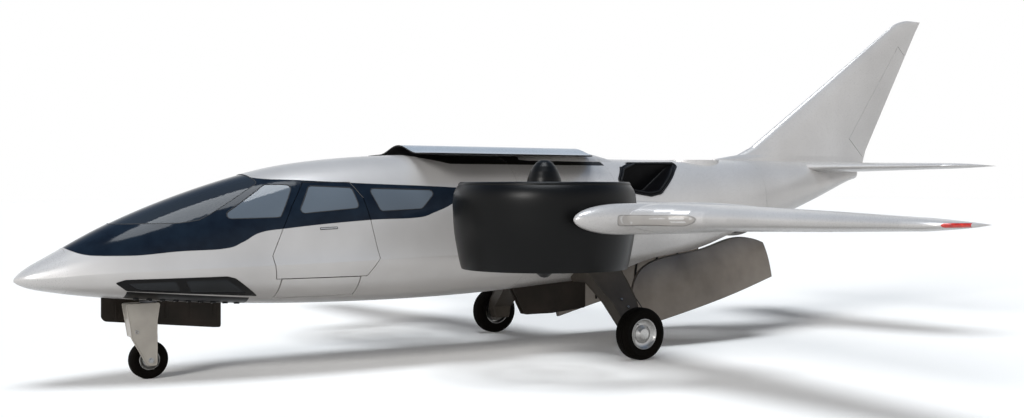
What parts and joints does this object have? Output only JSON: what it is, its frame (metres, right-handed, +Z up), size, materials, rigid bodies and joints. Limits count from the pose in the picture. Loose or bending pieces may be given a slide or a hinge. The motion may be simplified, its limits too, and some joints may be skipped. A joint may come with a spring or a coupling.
{
  "type": "tilt-fan aircraft",
  "caption": "Parked aircraft with tilting ducted fans beside a hollow cabin, a covered lift fan in the rear body, gull-wing door, swept fin and wheeled gear.",
  "frame": {"origin": "on the floor, under the centre of the whole object's length and span", "axes": "+X to the aircraft's left, +Y aft (the nose points to -Y), +Z up"},
  "size_m": [11.5, 11.8, 4.045],
  "materials": {
    "pearl_paint": "pearl silver-white gloss paint over composite skin",
    "glazing": "grey tinted acrylic panes",
    "black_trim": "gloss black moulding",
    "cabin_lining": "light grey lining",
    "seat_leather": "grey-brown leather",
    "engine_metal": "plain engine block",
    "grey_paint": "silver-grey painted doors and legs",
    "satin_black": "satin black carbon composite",
    "tyre_rubber": "black tyre rubber",
    "bright_rim": "turned bright aluminium",
    "red_lens": "red light lens",
    "green_lens": "green light lens"
  },
  "bodies": {
    "airframe": {"nose_cone": "pearl_paint", "cabin_shell": "pearl_paint", "windscreen": "glazing", "side_windows": "glazing", "chin_windows": "glazing", "chin_lamps": "black_trim", "cabin_floor": "cabin_lining", "cabin_bulkhead": "cabin_lining", "seats": "seat_leather", "instrument_panel": "black_trim", "engines": "engine_metal", "lid_deck": "black_trim", "roof_fairing": "pearl_paint", "centre_section": "pearl_paint", "intakes": "black_trim", "fan_section": "pearl_paint", "tail_cone": "pearl_paint", "outer_wings": "pearl_paint", "inner_wings": "pearl_paint", "wing_pods": "pearl_paint", "nav_light_left": "red_lens", "nav_light_right": "green_lens", "tailplane": "pearl_paint", "fin": "pearl_paint", "rear_fan_stator": "satin_black", "main_legs": "grey_paint", "main_gear_doors": "grey_paint", "nose_gear_door": "grey_paint"},
    "cabin_door": {"cabin_door": "pearl_paint", "door_window": "glazing"},
    "boarding_step": {"boarding_step": "pearl_paint"},
    "duct_left": {"duct_left": "satin_black"},
    "duct_right": {"duct_right": "satin_black"},
    "fan_left": {"fan_left": "satin_black"},
    "fan_right": {"fan_right": "satin_black"},
    "rear_fan": {"rear_fan": "satin_black"},
    "fan_lid": {"fan_lid": "pearl_paint"},
    "fan_door_left": {"fan_door_left": "grey_paint"},
    "fan_door_right": {"fan_door_right": "grey_paint"},
    "nose_leg": {"nose_leg": "grey_paint"},
    "nose_wheel": {"nose_tyre": "tyre_rubber", "nose_rim": "bright_rim"},
    "main_wheel_left": {"main_left_tyre": "tyre_rubber", "main_left_rim": "bright_rim"},
    "main_wheel_right": {"main_right_tyre": "tyre_rubber", "main_right_rim": "bright_rim"},
    "rudder": {"rudder": "pearl_paint"},
    "elevators": {"elevators": "pearl_paint"},
    "aileron_left": {"aileron_left": "pearl_paint"},
    "aileron_right": {"aileron_right": "pearl_paint"}
  },
  "joints": [
    {"name": "duct_left_tilt", "type": "hinge", "parent": "airframe", "child": "duct_left", "pos_m": [1.8, -1.54, 1.485], "axis": [1, 0, 0], "range_deg": [0, 90]},
    {"name": "duct_right_tilt", "type": "hinge", "parent": "airframe", "child": "duct_right", "pos_m": [-1.8, -1.54, 1.485], "axis": [1, 0, 0], "range_deg": [0, 90]},
    {"name": "fan_left_spin", "type": "hinge", "parent": "duct_left", "child": "fan_left", "pos_m": [1.8, -1.54, 1.56], "axis": [0, 0, 1], "continuous": true},
    {"name": "fan_right_spin", "type": "hinge", "parent": "duct_right", "child": "fan_right", "pos_m": [-1.8, -1.54, 1.56], "axis": [0, 0, 1], "continuous": true},
    {"name": "rear_fan_spin", "type": "hinge", "parent": "airframe", "child": "rear_fan", "pos_m": [0, 1.7, 1.78], "axis": [0, 0, 1], "continuous": true},
    {"name": "fan_lid_slide", "type": "slide", "parent": "airframe", "child": "fan_lid", "axis": [0, 1, 0], "range_m": [0, 2.24]},
    {"name": "fan_door_left_hinge", "type": "hinge", "parent": "airframe", "child": "fan_door_left", "pos_m": [0.646, 0.6, 0.945], "axis": [-0.0393, 0.9826, 0.1818], "range_deg": [0, 88]},
    {"name": "fan_door_right_hinge", "type": "hinge", "parent": "airframe", "child": "fan_door_right", "pos_m": [-0.646, 0.6, 0.945], "axis": [-0.0393, -0.9826, -0.1818], "range_deg": [0, 88]},
    {"name": "cabin_door_hinge", "type": "hinge", "parent": "airframe", "child": "cabin_door", "pos_m": [0.53, -3.25, 1.815], "axis": [0, -1, 0], "range_deg": [0, 85]},
    {"name": "boarding_step_hinge", "type": "hinge", "parent": "airframe", "child": "boarding_step", "pos_m": [0.449, -3.638, 0.724], "axis": [0.085, 0.9964, 0], "range_deg": [0, 45]},
    {"name": "nose_steering", "type": "hinge", "parent": "airframe", "child": "nose_leg", "pos_m": [0, -4.73, 0.6], "axis": [0, 0, 1], "range_deg": [-30, 30]},
    {"name": "nose_wheel_spin", "type": "hinge", "parent": "nose_leg", "child": "nose_wheel", "pos_m": [0, -4.73, 0.177], "axis": [1, 0, 0], "continuous": true},
    {"name": "main_wheel_left_spin", "type": "hinge", "parent": "airframe", "child": "main_wheel_left", "pos_m": [1.435, -0.12, 0.267], "axis": [1, 0, 0], "continuous": true},
    {"name": "main_wheel_right_spin", "type": "hinge", "parent": "airframe", "child": "main_wheel_right", "pos_m": [-1.435, -0.12, 0.267], "axis": [1, 0, 0], "continuous": true},
    {"name": "rudder_hinge", "type": "hinge", "parent": "airframe", "child": "rudder", "pos_m": [0, 4.484, 2.385], "axis": [0, 0.6146, 0.7888], "range_deg": [-25, 25]},
    {"name": "elevator_hinge", "type": "hinge", "parent": "airframe", "child": "elevators", "pos_m": [0, 4.52, 2.02], "axis": [1, 0, 0], "range_deg": [-20, 20]},
    {"name": "aileron_left_hinge", "type": "hinge", "parent": "airframe", "child": "aileron_left", "pos_m": [3.95, -0.232, 1.49], "axis": [0.9962, -0.0866, 0], "range_deg": [-20, 20]},
    {"name": "aileron_right_hinge", "type": "hinge", "parent": "airframe", "child": "aileron_right", "pos_m": [-3.95, -0.232, 1.49], "axis": [0.9962, 0.0866, 0], "range_deg": [-20, 20]}
  ]
}
